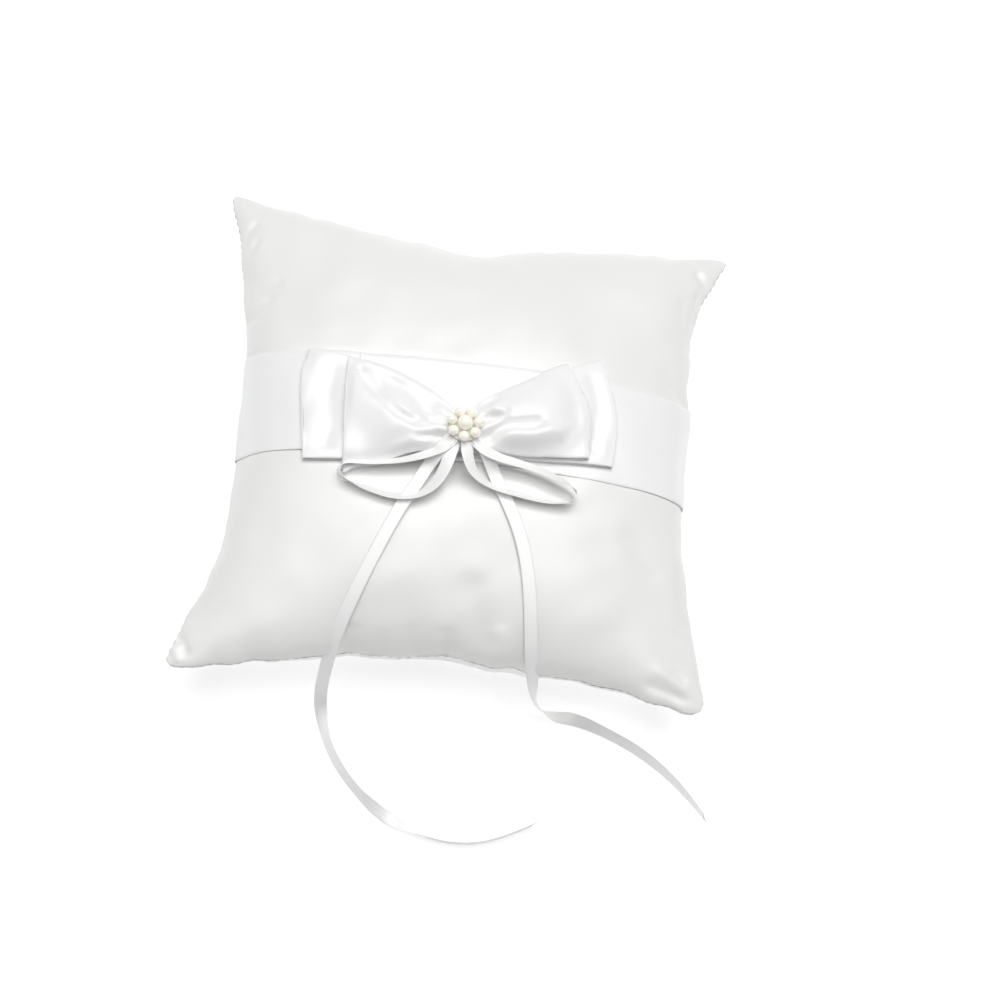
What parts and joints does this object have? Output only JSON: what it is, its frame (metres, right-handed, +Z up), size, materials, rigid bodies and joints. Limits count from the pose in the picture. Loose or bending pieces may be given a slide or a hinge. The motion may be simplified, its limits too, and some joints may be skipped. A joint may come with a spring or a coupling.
{
  "type": "ring bearer pillow",
  "caption": "Square satin cushion with a ribbon band, a flat layered bow, a pearl flower and a narrow tied ribbon that holds wedding rings.",
  "frame": {"origin": "on the surface it rests on, under the middle of the cushion, on the band's flat underside", "axes": "+X to the right along the band, +Y to the back of the cushion, away from the ribbon's tails, +Z up"},
  "size_m": [0.213, 0.2518, 0.0698],
  "materials": {
    "satin_cover": "heavy off-white satin, soft sheen",
    "wide_ribbon": "off-white satin ribbon, brighter sheen",
    "narrow_ribbon": "off-white satin ribbon with woven edges",
    "sewing_thread": "spun thread",
    "fibre_filling": "loose fibre",
    "felt": "felt",
    "pearl": "pearl coating"
  },
  "bodies": {
    "root": {"top_panel": "satin_cover", "bottom_panel": "satin_cover", "perimeter_seam": "sewing_thread", "closing_stitches": "sewing_thread", "filling": "fibre_filling", "waist_band": "wide_ribbon", "band_overlap_stitches": "sewing_thread", "bow_lower_layer": "wide_ribbon", "bow_upper_layer": "wide_ribbon", "bow_binding_thread": "sewing_thread", "bow_anchor_stitches": "sewing_thread", "tie_knot": "narrow_ribbon", "tie_loop_left": "narrow_ribbon", "tie_loop_right": "narrow_ribbon", "tie_tail_left": "narrow_ribbon", "tie_tail_right": "narrow_ribbon", "pearl_backing": "felt", "pearl_centre": "pearl", "bead_ring_thread": "sewing_thread", "centre_pearl_thread": "sewing_thread", "pearl_petal_1": "pearl", "pearl_petal_2": "pearl", "pearl_petal_3": "pearl", "pearl_petal_4": "pearl", "pearl_petal_5": "pearl", "pearl_petal_6": "pearl", "pearl_petal_7": "pearl"}
  },
  "joints": []
}
